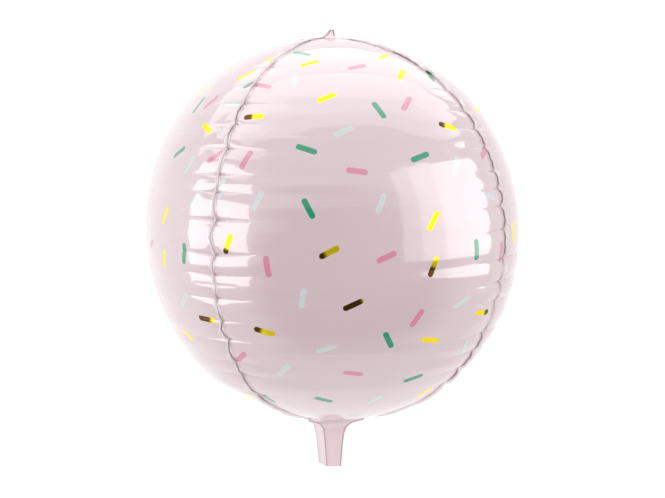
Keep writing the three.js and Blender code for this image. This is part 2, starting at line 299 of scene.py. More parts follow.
def outward(angle):
    """Direction across the axis, as x and z, at an angle from +Z towards +X"""
    return np.sin(angle), np.cos(angle)


def equator_radius(size, angle):
    """Widest radius: least at the panels' middles and most at the seams, by 1 less cos of four
    times the angle"""
    return size.ball_width / 2 + size.seam_standout * (1 - np.cos(4 * angle)) / 2


def meridian(share):
    """Share of the widest radius at a share of the half height, or the reverse: near a circle,
    and a little fuller halfway to the poles"""
    power = 2.04
    return np.maximum(0, 1 - np.abs(share) ** power) ** (1 / power)


def neck_radius(size, angle, drop):
    """Lozenge with rounded sides, its half diagonals tapering to the mouth, with a flare at the
    root that dies away as e to the power of minus the drop"""
    lozenge_power = 1.2
    rise = np.clip(1 - drop / size.neck_length, 0, 1)
    flare = size.flare * np.exp(-np.maximum(drop, 0) / size.flare_fade)
    long = mix(size.mouth_long, size.root_long, rise) + flare
    short = mix(size.mouth_short, size.root_short, rise) + flare
    along = np.abs(np.cos(angle - QUARTER / 2)) / long
    across = np.abs(np.sin(angle - QUARTER / 2)) / short
    return (along**lozenge_power + across**lozenge_power) ** (-1 / lozenge_power)


def filleted_radius(size, angle, height):
    """Ball and neck run together: the fifth root of the sum of both radii's fifth powers"""
    fillet_power = 5
    half = size.ball_height / 2
    ball = equator_radius(size, angle) * meridian(height / half)
    neck = np.where(height < 0, neck_radius(size, angle, -height - half), 0)
    return (ball**fillet_power + neck**fillet_power) ** (1 / fillet_power)


def lean(size, height):
    """Sideways shift of the axis: one way up the spike, and a smooth bend the other way just
    above the lower pole"""
    half = size.ball_height / 2
    above = np.clip((height - half + size.crown_drop) / size.spike_height, 0, 1)
    spike = size.spike_lean * np.sqrt(above)
    return spike - size.neck_lean * smooth(1 - (height + half) / size.neck_bend)


def uneven(size, angle, share):
    """How much higher the film lies than an even ball's, at a share of the half height: smooth
    steps make it lower by the apex, and higher in the left panel by the neck"""
    start, crown_run, tuck_run, tuck_end, gather = 0.7, 0.3, 0.15, 0.03, 1.5
    crown = size.crown_drop * smooth((share - start) / crown_run)
    tuck = size.left_tuck * smooth((-share - start) / tuck_run) * smooth((1 + share) / tuck_end)
    return tuck * np.maximum(0, -np.sin(angle)) ** gather - crown


# Seams and rows


def seam(angle, pleats, creases, lines, size):
    """A seam's folds as tables over the fold number: odd folds are pleats, drawn in, and even
    folds the pillows halfway between them; its swing goes from side to side with the folds"""
    swing_pace = 2.4
    count = 2 * len(pleats) + 1
    latitude, draw, puff = np.zeros((3, count))
    latitude[1::2], draw[1::2] = zip(*pleats)
    latitude[2:-1:2] = (latitude[1:-2:2] + latitude[3::2]) / 2
    latitude[0], latitude[-1] = TOP_LATITUDE, BOTTOM_LATITUDE
    puff[2:-1:2] = (draw[1:-2:2] + draw[3::2]) / 2
    folds = np.arange(count)
    swing = size.wander * np.sin(swing_pace * folds + angle) * (draw + puff)
    return SimpleNamespace(
        angle=angle, folds=folds, latitude=np.radians(latitude), draw=draw, puff=puff, swing=swing,
        creases=[(radians(at), share) for at, share in creases],
        lines=[(radians(at), dark) for at, dark in lines])


def make_seams(size):
    """The four seams, an eighth of a turn off the panels' middles"""
    return [
        seam(QUARTER * (index + 0.5), pleats, creases, lines, size)
        for index, (pleats, creases, lines) in enumerate(2 * [
            (FINE_PLEATS, FINE_CREASES, FINE_SHADE_LINES), (LONG_PLEATS, LONG_CREASES, LONG_SHADE_LINES)])
    ]


def make_rows(size):
    """Rows from the apex to the mouth: radii over the spike, fold numbers over the ball, closer
    next to each pleat, and drops along the neck"""
    spike_rows, fold_rows, neck_rows = 18, 24, 60
    crowding, neck_crowding = 1.5, 1.3
    pole_share, neck_start = 0.93, -0.0026
    pole_radius = pole_share * size.ball_width / 2 * cos(radians(TOP_LATITUDE))
    run = np.linspace(0, 1, spike_rows, endpoint=False) ** crowding
    spike = mix(size.spike_tip, pole_radius, run)
    steps = np.linspace(-1, 1, fold_rows, endpoint=False)
    pleats = 2 * np.arange(len(LONG_PLEATS)) + 1
    ball = pleats[:, None] + np.sign(steps) * np.abs(steps) ** crowding
    ball = np.append(ball.ravel(), 2 * len(LONG_PLEATS))
    neck = mix(neck_start, size.neck_length, np.linspace(0, 1, neck_rows) ** neck_crowding)
    return SimpleNamespace(spike=spike, ball=ball, neck=neck)


def over_ball(rows, values):
    """Rows of values over the ball, with noughts over the spike and the neck"""
    wide = values.shape[1:]
    return np.concatenate([
        np.zeros((len(rows.spike), *wide)), values, np.zeros((len(rows.neck), *wide))])


def envelope(size, rows, share, left, right):
    """Radius, height and slope of the smooth envelope. The ball is nearly an ellipse along the
    axis, the height going as the sine of the latitude; the spike adds to it the square of how far a
    point is inside the spike's foot; the neck follows its own radius by the drop"""
    angle = left.angle + QUARTER * share
    half = size.ball_height / 2
    radius = rows.spike[:, None] + 0 * angle
    inside = np.clip(1 - (radius - size.spike_tip) / (size.spike_foot - size.spike_tip), 0, 1)
    level = meridian(radius / equator_radius(size, angle))
    dome = half * level + uneven(size, angle, level)
    spike = (radius, dome + size.spike_height * inside**2, np.full_like(radius, QUARTER))
    ends = [np.interp(rows.ball, edge.folds, edge.latitude)[:, None] for edge in (left, right)]
    latitude = mix(*ends, share)
    level = half * np.sin(latitude)
    height = level + uneven(size, angle, np.sin(latitude))
    ball = (filleted_radius(size, angle, level), height, latitude)
    low = -half - rows.neck[:, None] + 0 * angle
    neck = (filleted_radius(size, angle, low), low, np.zeros_like(low))
    return tuple(np.concatenate(parts) for parts in zip(spike, ball, neck))


def fold_depth(size, rows, radius, latitude, share, left, right):
    """How far the film is drawn in and puffed out next to its two seams. Each pleat is a sharp
    groove, e to the power of minus the distance from its line, that narrows and runs out away
    from the seam, in a hollow that fades within a few millimetres of the weld; between pleats
    the film rises in pillows, highest a little way in, with small bell-shaped creases; next to
    the weld two sine waves make fine puckers"""
    least_reach, reach_gain, least_width, width_gain, run_out = 0.45, 0.75, 0.4, 0.6, 0.6
    hollow_share, hollow_fade = 0.7, 0.008
    crease_reach, crease_share = 0.2, 0.5
    pillow_pace = 1.5
    pucker_pitch, slow_pitch, pucker_fade = 0.0053, 0.0083, 0.007
    half = size.ball_height / 2
    fold = rows.ball[:, None]
    width = size.groove_width
    pleat = np.clip(2 * (rows.ball // 2) + 1, 1, len(left.folds) - 2).astype(int)
    pillow = np.clip(2 * np.round(rows.ball / 2), 0, len(left.folds) - 1).astype(int)
    line = mix(left.latitude[pleat][:, None], right.latitude[pleat][:, None], share)
    along = np.abs(latitude - line) * half
    to_pleat = np.clip(np.abs(fold - pleat[:, None]), 0, 1)
    swell = np.cos(QUARTER * np.clip(np.abs(fold - pillow[:, None]), 0, 1)) ** 2
    run = latitude * half
    depth = np.zeros_like(radius)
    for edge, part in ((left, share), (right, 1 - share)):
        away = part * radius * QUARTER
        draw = edge.draw[pleat][:, None]
        near = away / (size.pleat_reach * (least_reach + reach_gain * draw))
        left_over = np.clip(1 - near, 0, 1)
        narrowed = width * (least_width + width_gain * left_over)
        groove = np.exp(-along / narrowed) * left_over**run_out
        hollow = (1 - to_pleat) ** 2 * np.exp(-away / hollow_fade)
        depth -= draw * (size.groove_depth * groove + size.pleat_depth * hollow_share * hollow)
        for at, share_of_depth in edge.creases:
            reach = size.pleat_reach * (crease_reach + share_of_depth)
            left_over = np.clip(1 - away / reach, 0, 1)
            small = np.exp(-(((latitude - at) * half / width) ** 2)) * left_over**run_out
            depth -= size.groove_depth * crease_share * share_of_depth * small
        puff = edge.puff[pillow][:, None]
        rise = pillow_pace * near * np.exp(1 - pillow_pace * near)
        depth += size.pillow_rise * puff * rise * swell
        waves = np.sin(run * tau / pucker_pitch + edge.angle)
        waves += np.sin(run * tau / slow_pitch + 2 * edge.angle)
        depth -= size.pucker * (1 + waves / 2) * np.exp(-away / pucker_fade)
    return depth


def line_tone(rows, edge):
    """Darkness of the painted shade line along a seam's root, row by row, from 0 to 1: by latitude
    over the ball and broken at the pleats, dark at the tip of the spike, and even along the neck"""
    at_tip, along_neck, lost_at_pleat = 0.85, 0.55, 0.75
    tip_radius, tip_fade, break_pace, break_start = 0.003, 0.006, 2.2, 1.2
    latitude = np.interp(rows.ball, edge.folds, edge.latitude)
    dark = np.interp(latitude, *zip(*edge.lines))
    to_pillow = np.abs(rows.ball - 2 * np.round(rows.ball / 2))
    ball = dark * (1 - lost_at_pleat * smooth(to_pillow * break_pace - break_start))
    spike = at_tip * (1 - smooth((rows.spike - tip_radius) / tip_fade))
    return np.concatenate([spike, ball, np.full(len(rows.neck), along_neck)])


def root_tone(dark, away, least, gain):
    """Painted shade line along a seam's root, bell-shaped across, and the wider the darker it is"""
    return dark * np.exp(-((away / (least + gain * dark)) ** 2))


def film_tone(size, rows, share, radius, left, right):
    """Painted light and shade of the film next to its two welds, from -1, dark, to 1, pale: a painted
    shade line at the root, up to a millimetre wide, and between two pleats a pale lens with a thin
    grey rim of painted shade, up to three millimetres wide: a painted reflection of the weld
    mirrored in the film"""
    lens_share, least_lens, lens_edge, lens_reflection = 0.8, 0.0004, 0.0006, 0.9
    rim_from, rim_width, rim_shade = 0.0003, 0.0004, 0.15
    tone = np.zeros_like(radius)
    lens = over_ball(rows, np.abs(np.cos(QUARTER * rows.ball)))[:, None]
    for edge, part in ((left, share), (right, 1 - share)):
        away = part * radius * QUARTER
        reach = size.flange_width * lens_share * lens + least_lens
        # Painted reflection: a pale lens where the weld is mirrored in the film, edged by a thin grey
        # rim of painted shade
        pale = lens_reflection * smooth((reach - away) / lens_edge) * lens
        rim = rim_shade * np.exp(-(((away - reach - rim_from) / rim_width) ** 2)) * lens
        # Painted shade: the dark line in the crease at the seam's root
        root = root_tone(line_tone(rows, edge)[:, None], away, least=0.0005, gain=0.0005)
        tone += pale * (1 - root) - rim - root
    return np.clip(tone, -1, 1)


def flange_tone(rows, edge, line, rises):
    """Painted light and shade of a flange's outer face, from painted shade next to its root to a
    pale painted reflection at its rim
    """
    pale_run = 0.0013
    away = rises * line.width[:, None]
    root = root_tone(line_tone(rows, edge)[:, None], away, least=0.0006, gain=0.0007)
    return (1 - root) * smooth(away / pale_run) - root


def neck_marks(size, radius, angle, height):
    """Strength of the lines pressed across the neck, over most of its front, and of the patch of
    painted shade that darkens the film over the neck's root, in the front panel. Each line is
    bell-shaped across"""
    line_right, line_left, line_fade = 0.004, -0.025, 0.003
    patch_width, patch_rise, patch_drop, patch_edge, front = 0.0145, 0.030, 0.004, 3.5, 0.7
    drop = -height - size.ball_height / 2
    sideways = radius * outward(angle)[0] - size.neck_lean
    lines = sum(depth * np.exp(-(((drop - at) / wide) ** 2)) for at, wide, depth in WELD_LINES)
    lines = lines * smooth((line_right - sideways) / line_fade)
    lines = lines * smooth((sideways - line_left) / line_fade)
    along = np.where(drop < 0, drop / patch_rise, drop / patch_drop)
    patch = smooth(patch_edge * (1 - np.hypot(sideways / patch_width, along)))
    return lines, patch * (np.cos(angle) > front)


# Panels


def axis_point(size, across, height):
    """Points from their x and z across the axis and their height along it"""
    x, z = across
    return np.stack([x + lean(size, height), height, z + AXIS_HEIGHT], axis=-1)


def flange_width(size, radius, height):
    """Flange width: narrow at the spike and along the neck, full away from them"""
    run_in = size.flange_run_in
    top = mix(size.tip_flange, size.flange_width, smooth(radius / run_in))
    low = mix(size.neck_flange, size.flange_width, smooth((radius - size.root_long) / run_in))
    return np.where(height < 0, low, top)


def folded(size, rows, share, left, right):
    """Radius, height and slope of the smooth envelope, and the depth of the folds in it"""
    radius, height, slope = envelope(size, rows, share, left, right)
    ball = slice(len(rows.spike), len(rows.spike) + len(rows.ball))
    folds = fold_depth(size, rows, radius[ball], slope[ball], share, left, right)
    return radius, height, slope, over_ball(rows, folds)


def seam_line(size, rows, edge):
    """Root of a seam in its own plane, the direction that its flange stands in, at right
    angles to the smooth root line, the flange's width and the seam's swing, row by row"""
    lean_pace, quick_pace = 2.9, 5.3
    radius, height, _, depth = (
        values[:, 0] for values in folded(size, rows, np.zeros(1), edge, edge))
    run_out, run_up = np.gradient(radius), np.gradient(height)
    long = np.hypot(run_out, run_up)
    out, up = -run_up / long, run_out / long
    swing = over_ball(rows, np.interp(rows.ball, edge.folds, edge.swing))
    waves = np.sin(rows.ball * lean_pace + edge.angle) + np.sin(rows.ball * quick_pace)
    root_radius, root_height = radius + depth * out, height + depth * up
    return SimpleNamespace(
        radius=root_radius, height=root_height, out=out, up=up, swing=swing,
        waves=over_ball(rows, waves), width=flange_width(size, root_radius, root_height))


def flange_points(size, edge, line, rise, offset, side, sink=0.0):
    """Points of a flange at a share of its width, moved off the seam's plane by an offset; the
    flange leans to and fro towards its edge as two sine waves over the folds"""
    crumple = 0.0005
    radius = line.radius - sink + rise * line.width * line.out
    height = line.height + rise * line.width * line.up
    across = np.array(outward(edge.angle + line.swing)) * radius
    sideways = side * offset + rise * crumple * line.waves
    turn = np.array(outward(edge.angle + QUARTER))
    across = across + turn[:, None] * sideways
    return axis_point(size, across, height)


def panel_rings(size, rows, left, right):
    """Rings round a panel's closed shell, one for each row: up the left flange's outer face and
    over the film from seam to seam, down the right flange, and back along the inside; and each
    point's painted light and shade, with a patch of painted shade over the neck's root, and its
    part in the pressed lines"""
    evenness, taper, pressed_depth, patch_shade = 0.75, 0.1, 0.00025, 0.17
    neck_layers, thickness, most_of_radius = 1.4, 0.002, 0.85
    thin_radius, thin_run = 0.045, 0.05
    inner = size.weld_gap / 2
    outer = inner + size.film
    line_left, line_right = seam_line(size, rows, left), seam_line(size, rows, right)
    level = np.linspace(0, 1, FILM_COLUMNS)
    share = mix(level, (1 - np.cos(pi * level)) / 2, evenness)
    angle = left.angle + QUARTER * share
    radius, height, slope, depth = folded(size, rows, share, left, right)
    radius = radius + depth * np.cos(slope)
    height = height + depth * np.sin(slope)
    for column, line in ((0, line_left), (-1, line_right)):
        radius[:, column], height[:, column] = line.radius, line.height
    pressed, patch = neck_marks(size, radius, angle, height)
    radius = radius - pressed_depth * pressed
    swing = mix(line_left.swing[:, None], line_right.swing[:, None], share)
    from_left = outer * np.clip(1 - share / taper, 0, 1)
    from_right = outer * np.clip(1 - (1 - share) / taper, 0, 1)
    left_x, left_z = outward(left.angle + QUARTER)
    right_x, right_z = outward(right.angle - QUARTER)
    inset = (left_x * from_left + right_x * from_right, left_z * from_left + right_z * from_right)

    def sheet(radii, columns):
        x, z = outward(angle[columns] + swing[:, columns])
        across = (x * radii + inset[0][columns], z * radii + inset[1][columns])
        return axis_point(size, across, height[:, columns]).swapaxes(0, 1)

    def flange(edge, line, side, offset, shares, sink=0.0):
        return [flange_points(size, edge, line, rise, offset, side, sink) for rise in shares]

    back = np.arange(FILM_COLUMNS)[INNER_STEP:-INNER_STEP:INNER_STEP][::-1]
    thick_share = smooth((radius[:, :1] - thin_radius) / thin_run)
    thick = mix(size.film * neck_layers, thickness, thick_share)
    upper = np.minimum(thickness, most_of_radius * radius[:, :1])
    thick = np.where(height[:, :1] > 0, upper, thick)
    sink = thick[:, 0]
    rises = np.arange(1, FLANGE_STEPS + 1) / FLANGE_STEPS
    parts = [
        *flange(left, line_left, 1, outer, rises[::-1]),
        *sheet(radius, slice(None)),
        *flange(right, line_right, -1, outer, rises),
        *flange(right, line_right, -1, inner, rises[::-1]),
        *flange(right, line_right, -1, inner, [0], sink),
        *sheet(radius[:, back] - thick, back),
        *flange(left, line_left, 1, inner, [0], sink),
        *flange(left, line_left, 1, inner, rises),
    ]
    tone = np.zeros((len(radius), len(parts)))
    weld = np.zeros_like(tone)
    first, last = FLANGE_STEPS, FLANGE_STEPS + FILM_COLUMNS
    # Painted light and shade along the welds on the film and the flanges, and a patch of painted
    # shade over the neck's root
    film_shading = film_tone(size, rows, share, radius, left, right)
    tone[:, first:last] = film_shading - patch_shade * patch
    tone[:, first - 1::-1] = flange_tone(rows, left, line_left, rises)
    tone[:, last:last + FLANGE_STEPS] = flange_tone(rows, right, line_right, rises)
    weld[:, first:last] = pressed
    return np.stack(parts, axis=1), {"tone": tone, "weld": weld}


def ring_faces(row_count, ring):
    """Quads between neighbouring rings, wound so that they face outwards"""
    row = np.arange(row_count - 1)[:, None] * ring
    column = np.arange(ring)
    after = (column + 1) % ring
    corners = [row + column, row + ring + column, row + ring + after, row + after]
    return np.stack(corners, axis=-1).reshape(-1, 4)


def lie_flat(points):
    """Film below the floor comes to lie on it: half the sum of the height and the root of its
    square and a small square, so that the edge of the flat spot is rounded"""
    edge = 0.0004
    z = points[..., 2]
    points[..., 2] = (z + np.sqrt(z**2 + edge**2)) / 2
    return points


# Print


def view_axes(stage):
    """Place of the camera's eye and its right and up directions, from the ball's middle"""
    back = np.array([
        -cos(stage.rise) * sin(stage.turn), sin(stage.rise), cos(stage.rise) * cos(stage.turn)])
    right = np.cross([0, 1, 0], back)
    right /= np.linalg.norm(right)
    up = np.cross(back, right)
    turned_right = cos(stage.roll) * right - sin(stage.roll) * up
    turned_up = sin(stage.roll) * right + cos(stage.roll) * up
    return back * stage.distance, turned_right, turned_up


def above_film(size, points):
    """How far points are outside the ball, across its axis"""
    ring = meridian(points[..., 1] / (size.ball_height / 2))
    angle = np.arctan2(points[..., 0], points[..., 2])
    return np.hypot(points[..., 0], points[..., 2]) - equator_radius(size, angle) * ring


def carried_to_film(size, stage, places):
    """Places on the plane through the ball's middle that faces the camera, carried along the
    lines of sight to where they first meet the film, or to where they pass it closest"""
    eye, right, up = view_axes(stage)
    plane = places[:, :1] * right + places[:, 1:2] * up
    sight = (plane - eye) / np.linalg.norm(plane - eye, axis=1, keepdims=True)
    before, beyond, steps = -0.23, 0.1, 1200
    way = np.linspace(before, beyond, steps)
    along = plane[:, None] + way[:, None] * sight[:, None]
    gap = above_film(size, along)
    met = gap < 0
    first = np.where(met.any(axis=1), met.argmax(axis=1), gap.argmin(axis=1))
    return along[np.arange(len(places)), first]


def placed_sprinkles(size, looks, stage):
    """Middle, long direction, cross direction and colour of every sprinkle. Those that show are
    placed as they are seen. Where the camera can't see, there are copies of them, turned by
    quarters, wherever these keep clear of the ones already there. The colour's fourth channel is
    nought, or for gold half the sum of one and its signed share of painted dark reflection"""
    step, apart, past_edge = 0.004, 1.1, 0.03
    spots = [(*spot, name) for name, group in SPRINKLES.items() for spot in group]
    places = np.array([spot[:2] for spot in spots]) / 1000
    tilt = np.radians([spot[2] for spot in spots])
    colour = np.array([
        [*getattr(looks, spot[-1]), (1 + sum(spot[3:-1])) / 2 if spot[-1] == "gold" else 0]
        for spot in spots])
    middle = carried_to_film(size, stage, places)
    towards = np.stack([np.cos(tilt), np.sin(tilt)], axis=1)
    along = carried_to_film(size, stage, places + step * towards) - middle
    along /= np.linalg.norm(along, axis=1, keepdims=True) + TINY
    face = middle / np.linalg.norm(middle, axis=1, keepdims=True)
    across = np.cross(face, along)
    across /= np.linalg.norm(across, axis=1, keepdims=True) + TINY
    along = np.cross(across, face)
    seen = np.stack([middle, along, across], axis=1)
    seen_colour = colour
    everything = seen
    sight = view_axes(stage)[0] / stage.distance
    for quarters in (1, 2, 3):
        turn = np.array(Matrix.Rotation(quarters * QUARTER, 3, "Y"))
        copy = seen @ turn.T
        far = np.linalg.norm(copy[:, None, 0] - everything[None, :, 0], axis=2).min(axis=1)
        hidden = copy[:, 0] @ sight < past_edge
        keep = hidden & (far > apart * looks.sprinkle_length)
        everything = np.concatenate([everything, copy[keep]])
        colour = np.concatenate([colour, seen_colour[keep]])
    everything[:, 0, 2] += AXIS_HEIGHT
    return everything, colour


def print_on_faces(looks, sprinkles, colour, points, faces, left):
    """For each face the sprinkle that reaches it best: its corners' places along and across that
    sprinkle, in sprinkle lengths, and the sprinkle's colour"""
    through, far_off = 0.02, 10
    turn = np.arctan2(sprinkles[:, 0, 0], sprinkles[:, 0, 2] - AXIS_HEIGHT) - left.angle
    own = (turn % tau) < QUARTER
    sprinkles, colour = sprinkles[own], colour[own]
    middle, along, across = sprinkles[:, 0], sprinkles[:, 1], sprinkles[:, 2]
    face = np.cross(along, across)
    centre = points[faces].mean(axis=1)
    from_middle = centre[:, None] - middle
    u, v, w = ((from_middle * axis).sum(axis=2) for axis in (along, across, face))
    straight = (looks.sprinkle_length - looks.sprinkle_width) / 2
    away = np.hypot(np.maximum(np.abs(u) - straight, 0), v) + far_off * (np.abs(w) > through)
    best = away.argmin(axis=1)
    corner = points[faces] - middle[best][:, None]
    local = np.stack(
        [(corner * axis[best][:, None]).sum(axis=2) for axis in (along, across)], axis=2)
    return local / looks.sprinkle_length, colour[best]


# Materials


def set_inputs(tree, made, inputs):
    """Sets or links inputs of a node"""
    for key, value in inputs.items():
        if isinstance(value, bpy.types.NodeSocket):
            tree.links.new(value, made.inputs[key])
        else:
            made.inputs[key].default_value = value


def node(tree, kind, inputs=None, **settings):
    """A node with its settings and with its inputs set or linked"""
    made = tree.nodes.new(kind)
    for key, value in settings.items():
        setattr(made, key, value)
    set_inputs(tree, made, inputs or {})
    return made


def maths(tree, operation, *values):
    """Output of a Math node"""
    return node(tree, "ShaderNodeMath", dict(enumerate(values)), operation=operation).outputs[0]


def blend(tree, factor, start, end, kind="RGBA"):
    """Output of a Mix node"""
    first, second, result = {"RGBA": (6, 7, 2), "FLOAT": (2, 3, 0)}[kind]
    mixer = node(tree, "ShaderNodeMix", {0: factor, first: start, second: end}, data_type=kind)
    return mixer.outputs[result]


def noise(tree, scale, detail=2.0):
    """Noise over the surface, with a given number of waves per metre"""
    where = node(tree, "ShaderNodeTexCoord").outputs["Object"]
    inputs = {"Vector": where, "Scale": scale, "Detail": detail}
    return node(tree, "ShaderNodeTexNoise", inputs).outputs["Fac"]


def step_down(tree, value, start, end, high, low):
    """A value's smooth step from high at its start to low at its end"""
    span = {"Value": value, 1: start, 2: end, 3: high, 4: low}
    return node(tree, "ShaderNodeMapRange", span, interpolation_type="SMOOTHSTEP").outputs[0]


def rgba(colour, share=1):
    """A share of a colour's brightness, as four channels"""
    return (*(channel * share for channel in colour), 1)


def new_material(name):
    """An empty node material with a Principled shader on its output"""
    material = bpy.data.materials.new(name)
    material.use_nodes = True
    tree = material.node_tree
    tree.nodes.clear()
    shader = node(tree, "ShaderNodeBsdfPrincipled")
    node(tree, "ShaderNodeOutputMaterial", {"Surface": shader.outputs[0]})
    return material, tree, shader


def foil_material(looks):
    """Pearl-pink lacquer over foil with a crisp print. The print's mask is the distance from the
    sprinkle's straight middle line, in the piece's own print coordinates, and gold has a painted
    dark reflection from one end over its dark share. The points' painted light and shade makes
    the film pale with a painted reflection or dark with painted shade along the welds, and their
    weld strength tans the lines across the neck. The lacquer's colour, roughness and fine waves
    come from noise over the surface"""
    print_blur, dark_reflection_blur, cloud_share, weld_share, dulled = 0.008, 0.12, 0.95, 0.6, 0.2
    grit, gold_roughness, grain_height = 0.06, 0.1, 0.04
    material, tree, shader = new_material("pink_foil")

    def calc(operation, *values):
        return maths(tree, operation, *values)

    def attribute(name):
        return node(tree, "ShaderNodeAttribute", attribute_name=name).outputs

    uv = node(tree, "ShaderNodeUVMap", uv_map="print").outputs[0]
    along, across = node(tree, "ShaderNodeSeparateXYZ", {0: uv}).outputs[:2]
    radius = looks.sprinkle_width / looks.sprinkle_length / 2
    past_end = calc("MAXIMUM", calc("SUBTRACT", calc("ABSOLUTE", along), 0.5 - radius), 0.0)
    reach = calc("SQRT", calc("ADD", calc("POWER", past_end, 2.0), calc("POWER", across, 2.0)))
    mask = step_down(tree, reach, radius - print_blur, radius + print_blur, 1.0, 0.0)
    ink, tone, weld = attribute("ink"), attribute("tone")["Fac"], attribute("weld")["Fac"]
    cloud, grain, ripple = noise(tree, 9.0, 3.0), noise(tree, 900.0), noise(tree, 45.0, 3.0)
    lacquer = blend(tree, cloud, rgba(looks.film, cloud_share), rgba(looks.film))
    lacquer = blend(tree, calc("MULTIPLY", weld, weld_share), lacquer, rgba(looks.weld))
    golden = calc("GREATER_THAN", ink["Alpha"], 0.01)
    # Painted dark reflection on gold: from one end, over its signed share of the length, the gold is
    # darkened where it would mirror the dark ceiling
    dark = calc("SUBTRACT", calc("MULTIPLY", ink["Alpha"], 2.0), 1.0)
    from_end = calc("ADD", calc("MULTIPLY", calc("SIGN", dark), along), 0.5)
    past_dark = calc("SUBTRACT", from_end, calc("ABSOLUTE", dark))
    gold_dark_reflection = calc("MULTIPLY", step_down(tree, past_dark, -dark_reflection_blur, dark_reflection_blur, 1.0, 0.0), golden)
    colour = blend(tree, mask, lacquer, blend(tree, gold_dark_reflection, ink["Color"], rgba(looks.gold_dark_reflection)))
    # Painted reflection: pale flanges and the weld mirrored in the film next to it
    colour = blend(tree, calc("MAXIMUM", tone, 0.0), colour, rgba(looks.pale))
    # Painted shade: the dark line along the seams' roots and the patch over the neck's root
    shaded = calc("MAXIMUM", calc("MULTIPLY", tone, -1.0), 0.0)
    colour = blend(tree, shaded, colour, rgba(looks.shadow))
    bare = calc("MULTIPLY", mask, golden)
    satin = calc("ADD", calc("MULTIPLY", grain, grit), looks.roughness - grit / 2)
    printed = calc("MAXIMUM", calc("MULTIPLY", mask, dulled), bare)
    height = calc("ADD", ripple, calc("MULTIPLY", grain, grain_height))
    bump = node(tree, "ShaderNodeBump", {"Strength": 0.12, "Distance": 0.0008, "Height": height})
    set_inputs(tree, shader, {
        "Base Color": colour,
        "Metallic": blend(tree, bare, looks.metal, looks.gold_metal, "FLOAT"),
        "Roughness": blend(tree, bare, satin, gold_roughness, "FLOAT"),
        "Normal": bump.outputs[0],
        "Coat Weight": calc(
            "MULTIPLY", calc("SUBTRACT", 1.0, printed), calc("SUBTRACT", 1.0, shaded)),
        "Coat Roughness": 0.07,
        "Coat IOR": 1.9,
        "Specular IOR Level": 0.3,
    })
    return material


def floor_material(stage):
    """Matt white floor with a faint glow of its own"""
    cloud_share = 0.98
    material, tree, shader = new_material("pale_floor")
    dull, full = rgba(stage.floor, cloud_share), rgba(stage.floor)
    set_inputs(tree, shader, {
        "Base Color": blend(tree, noise(tree, 3.0), dull, full),
        "Roughness": 0.8,
        "Emission Color": (1, 1, 1, 1),
        "Emission Strength": stage.floor_glow,
    })
    return material


# Pieces


def add_object(name, data):
    """An object of the open scene with its mesh, light or camera"""
    made = bpy.data.objects.new(name, data)
    bpy.context.scene.collection.objects.link(made)
    return made


def add_panel(name, size, looks, rows, left, right, sprinkles, colour, material):
    """A panel's film as one closed shell, in place of its solid"""
    off_print = 9.0
    rings, painted_shading_and_welds = panel_rings(size, rows, left, right)
    if name == "back_panel":
        rings = lie_flat(rings)
    row_count, ring = rings.shape[:2]
    points = rings.reshape(-1, 3)
    quads = ring_faces(row_count, ring)
    local, inks = print_on_faces(looks, sprinkles, colour, points, quads, left)
    outside = np.arange(len(quads)) % ring < FILM_COLUMNS + 2 * FLANGE_STEPS - 1
    local[~outside] = off_print
    mesh = bpy.data.meshes.new(name + "_film")
    caps = [list(range(ring)), list(range(row_count * ring - 1, (row_count - 1) * ring - 1, -1))]
    mesh.from_pydata(points.tolist(), [], quads.tolist() + caps)
    blank = np.full((2 * ring, 2), off_print)
    print_map = mesh.uv_layers.new(name="print")
    print_map.uv.foreach_set("vector", np.concatenate([local.reshape(-1, 2), blank]).ravel())
    ink = mesh.color_attributes.new("ink", "FLOAT_COLOR", "CORNER")
    corners = np.concatenate([np.repeat(inks, 4, axis=0), np.ones((2 * ring, 4))])
    ink.data.foreach_set("color", corners.ravel())
    for shade, values in painted_shading_and_welds.items():
        mesh.attributes.new(shade, "FLOAT", "POINT").data.foreach_set("value", values.ravel())
    mesh.shade_smooth()
    mark_sharp(mesh, ring, row_count)
    mesh.materials.append(material)
    piece = add_object(name + "_film", mesh)
    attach(piece, "root")
    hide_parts(name)


def mark_sharp(mesh, ring, row_count):
    """Sharp edges along the flanges' roots and rims and round both ends"""
    ends = np.zeros(len(mesh.edges) * 2, int)
    mesh.edges.foreach_get("vertices", ends)
    columns = ends.reshape(-1, 2) % ring
    row = ends.reshape(-1, 2) // ring
    last = FLANGE_STEPS + FILM_COLUMNS - 1
    creased = [0, FLANGE_STEPS, last, last + FLANGE_STEPS, last + FLANGE_STEPS + 1, ring - 1]
    lengthwise = (columns[:, 0] == columns[:, 1]) & np.isin(columns[:, 0], creased)
    round_end = (row[:, 0] == row[:, 1]) & np.isin(row[:, 0], [0, row_count - 1])
    sharp = mesh.attributes.new("sharp_edge", "BOOLEAN", "EDGE")
    sharp.data.foreach_set("value", lengthwise | round_end)


class BALLOON_OT_panels(bpy.types.Operator):
    """Adds the four film panels, welded along their seams"""

    bl_idname = "balloon.panels"
    bl_label = "Film panels"

    def execute(self, context):
        size, looks = registered(BalloonSizes), registered(BalloonLooks)
        seams = make_seams(size)
        rows = make_rows(size)
        sprinkles, colour = placed_sprinkles(size, looks, registered(BalloonStage))
        material = foil_material(looks)
        names = ["front_panel", "right_panel", "back_panel", "left_panel"]
        for index, name in enumerate(names):
            left, right = seams[index - 1], seams[index]
            if index == 0:
                left = SimpleNamespace(**{**vars(left), "angle": left.angle - tau})
            add_panel(name, size, looks, rows, left, right, sprinkles, colour, material)
        return {"FINISHED"}


# Stage


def add_floor(stage):
    """A round pale floor, flat and wide"""
    count, radius = 96, 6.0
    angle = np.arange(count) * tau / count
    rim = np.stack([radius * np.cos(angle), radius * np.sin(angle), 0 * angle], axis=1)
    mesh = bpy.data.meshes.new("floor")
    mesh.from_pydata(rim.tolist(), [], [list(range(count))])
    mesh.materials.append(floor_material(stage))
    add_object("floor", mesh)


